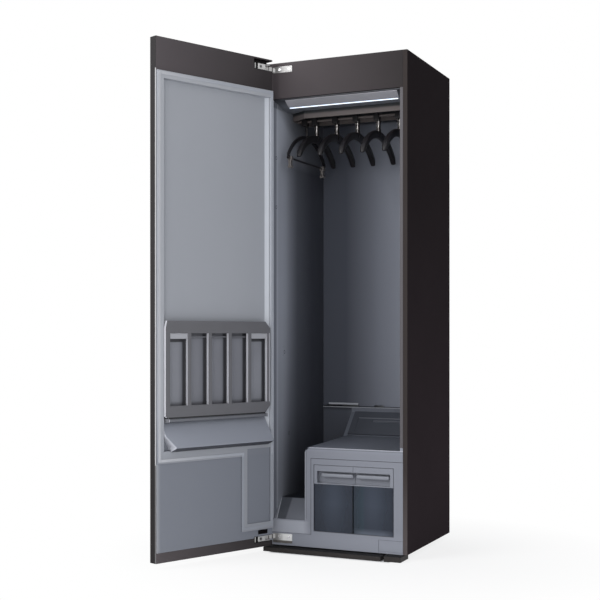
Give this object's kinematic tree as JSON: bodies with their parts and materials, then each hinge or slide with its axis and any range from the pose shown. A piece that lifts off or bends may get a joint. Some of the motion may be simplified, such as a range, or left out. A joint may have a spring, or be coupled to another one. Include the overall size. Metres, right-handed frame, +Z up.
{
  "type": "clothes care steam cabinet",
  "caption": "Tall steam wardrobe with a hinged door open on a grey chamber, hangers, fold-down trouser press, drip tray and two pull-out water tanks.",
  "frame": {"origin": "on the floor, under the middle of the front edge of the cabinet body", "axes": "+X to the right of someone facing the cabinet, +Y to the back, +Z up"},
  "size_m": [0.8036, 1.1726, 1.966],
  "materials": {
    "casing_paint": "satin dark brown-black",
    "door_paint": "satin dark brown-grey",
    "zinc_sheet": "plain galvanised grey",
    "liner_plastic": "fine-grained blue-grey",
    "front_plastic": "satin blue-grey",
    "cover_plastic": "satin blue-grey",
    "dark_plastic": "satin near-black",
    "press_plastic": "satin dark grey",
    "hanger_plastic": "soft gloss black",
    "tank_plastic": "smoked clear",
    "lamp_plastic": "frosted white, lit",
    "glass_panel": "gloss black",
    "hinge_steel": "brushed",
    "pin_steel": "polished",
    "compressor_iron": "satin black paint",
    "coil_aluminium": "bare",
    "copper_pipe": "bare copper",
    "motor_case": "cast",
    "board_laminate": "green laminate",
    "seal_rubber": "soft grey",
    "foot_rubber": "black"
  },
  "bodies": {
    "cabinet": {"left_side_panel": "casing_paint", "right_side_panel": "casing_paint", "top_panel": "casing_paint", "rear_panel": "zinc_sheet", "base_pan": "zinc_sheet", "top_fascia": "door_paint", "left_liner_wall": "liner_plastic", "right_liner_wall": "liner_plastic", "rear_liner_wall": "liner_plastic", "chamber_ceiling": "liner_plastic", "well_floor": "liner_plastic", "front_frame": "front_plastic", "tank_bay_panel": "front_plastic", "machine_cover": "cover_plastic", "kick_boards": "dark_plastic", "rear_feet": "foot_rubber", "hanger_duct": "dark_plastic", "lamp_housing": "front_plastic", "lamp_lens": "lamp_plastic", "blower_housing": "dark_plastic", "fan_motors": "motor_case", "compressor": "compressor_iron", "condenser": "coil_aluminium", "evaporator": "coil_aluminium", "refrigerant_pipes": "copper_pipe", "steam_generator": "motor_case", "water_pumps": "dark_plastic", "control_board": "board_laminate", "cord_gland": "dark_plastic", "hinge_brackets": "hinge_steel", "hinge_screws": "pin_steel"},
    "door": {"door_shell": "door_paint", "door_liner": "liner_plastic", "door_gasket": "seal_rubber", "touch_glass": "glass_panel", "hinge_cups": "hinge_steel", "hinge_pins": "pin_steel", "press_back_plate": "cover_plastic", "drip_tray": "front_plastic"},
    "press": {"press_grille": "press_plastic"},
    "left_latch": {"left_press_latch": "front_plastic"},
    "right_latch": {"right_press_latch": "front_plastic"},
    "left_tank": {"left_tank_shell": "tank_plastic", "left_tank_handle": "front_plastic"},
    "right_tank": {"right_tank_shell": "tank_plastic", "right_tank_handle": "front_plastic"},
    "filter": {"lint_filter": "cover_plastic"},
    "service_hatch": {"service_cover": "front_plastic"},
    "circulation_fan": {"circulation_impeller": "dark_plastic"},
    "blower_fan": {"blower_impeller": "dark_plastic"},
    "left_foot": {"front_left_foot": "foot_rubber"},
    "right_foot": {"front_right_foot": "foot_rubber"},
    "trouser_frame": {"trouser_hanger": "hanger_plastic"},
    "front_clip": {"front_trouser_clip": "hanger_plastic"},
    "rear_clip": {"rear_trouser_clip": "hanger_plastic"},
    "hanger_1": {"air_hanger_1": "hanger_plastic"},
    "hanger_2": {"air_hanger_2": "hanger_plastic"},
    "hanger_3": {"air_hanger_3": "hanger_plastic"},
    "hanger_4": {"air_hanger_4": "hanger_plastic"},
    "hanger_5": {"air_hanger_5": "hanger_plastic"}
  },
  "joints": [
    {"name": "door_hinge", "type": "hinge", "parent": "cabinet", "child": "door", "pos_m": [-0.283, -0.038, 0.98], "axis": [0, 0, 1], "range_deg": [-18, 112]},
    {"name": "press_fold", "type": "hinge", "parent": "door", "child": "press", "pos_m": [-0.35193, -0.31538, 0.5485], "axis": [-0.3746, -0.9272, 0], "range_deg": [-40, 0]},
    {"name": "left_latch_press", "type": "slide", "parent": "press", "child": "left_latch", "axis": [0, 0, -1], "range_m": [0, 0.005], "stiffness_N_per_m": 200, "springref_m": -0.004},
    {"name": "right_latch_press", "type": "slide", "parent": "press", "child": "right_latch", "axis": [0, 0, -1], "range_m": [0, 0.005], "stiffness_N_per_m": 200, "springref_m": -0.004},
    {"name": "left_tank_pull", "type": "slide", "parent": "cabinet", "child": "left_tank", "axis": [0, 1, 0], "range_m": [-0.25, 0]},
    {"name": "right_tank_pull", "type": "slide", "parent": "cabinet", "child": "right_tank", "axis": [0, 1, 0], "range_m": [-0.25, 0]},
    {"name": "filter_lift", "type": "slide", "parent": "cabinet", "child": "filter", "axis": [0, -0.6887, 0.725], "range_m": [0, 0.05]},
    {"name": "service_cover_pull", "type": "slide", "parent": "cabinet", "child": "service_hatch", "axis": [0, 1, 0], "range_m": [-0.03, 0]},
    {"name": "circulation_fan_spin", "type": "hinge", "parent": "cabinet", "child": "circulation_fan", "pos_m": [0.09, 0.27, 0.33], "axis": [0, 1, 0], "continuous": true},
    {"name": "blower_fan_spin", "type": "hinge", "parent": "cabinet", "child": "blower_fan", "pos_m": [0, 0.44, 1.82], "axis": [0, 0, 1], "continuous": true},
    {"name": "left_foot_turn", "type": "hinge", "parent": "cabinet", "child": "left_foot", "pos_m": [-0.2295, 0.07, 0.02], "axis": [0, 0, 1], "continuous": true},
    {"name": "right_foot_turn", "type": "hinge", "parent": "cabinet", "child": "right_foot", "pos_m": [0.2295, 0.07, 0.02], "axis": [0, 0, 1], "continuous": true},
    {"name": "trouser_hanger_lift", "type": "slide", "parent": "cabinet", "child": "trouser_frame", "axis": [0, 0, 1], "range_m": [0, 0.012]},
    {"name": "front_clip_slide", "type": "slide", "parent": "trouser_frame", "child": "front_clip", "axis": [0, 1, 0], "range_m": [0, 0.06]},
    {"name": "rear_clip_slide", "type": "slide", "parent": "trouser_frame", "child": "rear_clip", "axis": [0, 1, 0], "range_m": [-0.06, 0]},
    {"name": "hanger_1_lift", "type": "slide", "parent": "cabinet", "child": "hanger_1", "axis": [0, 0, 1], "range_m": [0, 0.012]},
    {"name": "hanger_2_lift", "type": "slide", "parent": "cabinet", "child": "hanger_2", "axis": [0, 0, 1], "range_m": [0, 0.012]},
    {"name": "hanger_3_lift", "type": "slide", "parent": "cabinet", "child": "hanger_3", "axis": [0, 0, 1], "range_m": [0, 0.012]},
    {"name": "hanger_4_lift", "type": "slide", "parent": "cabinet", "child": "hanger_4", "axis": [0, 0, 1], "range_m": [0, 0.012]},
    {"name": "hanger_5_lift", "type": "slide", "parent": "cabinet", "child": "hanger_5", "axis": [0, 0, 1], "range_m": [0, 0.012]}
  ]
}
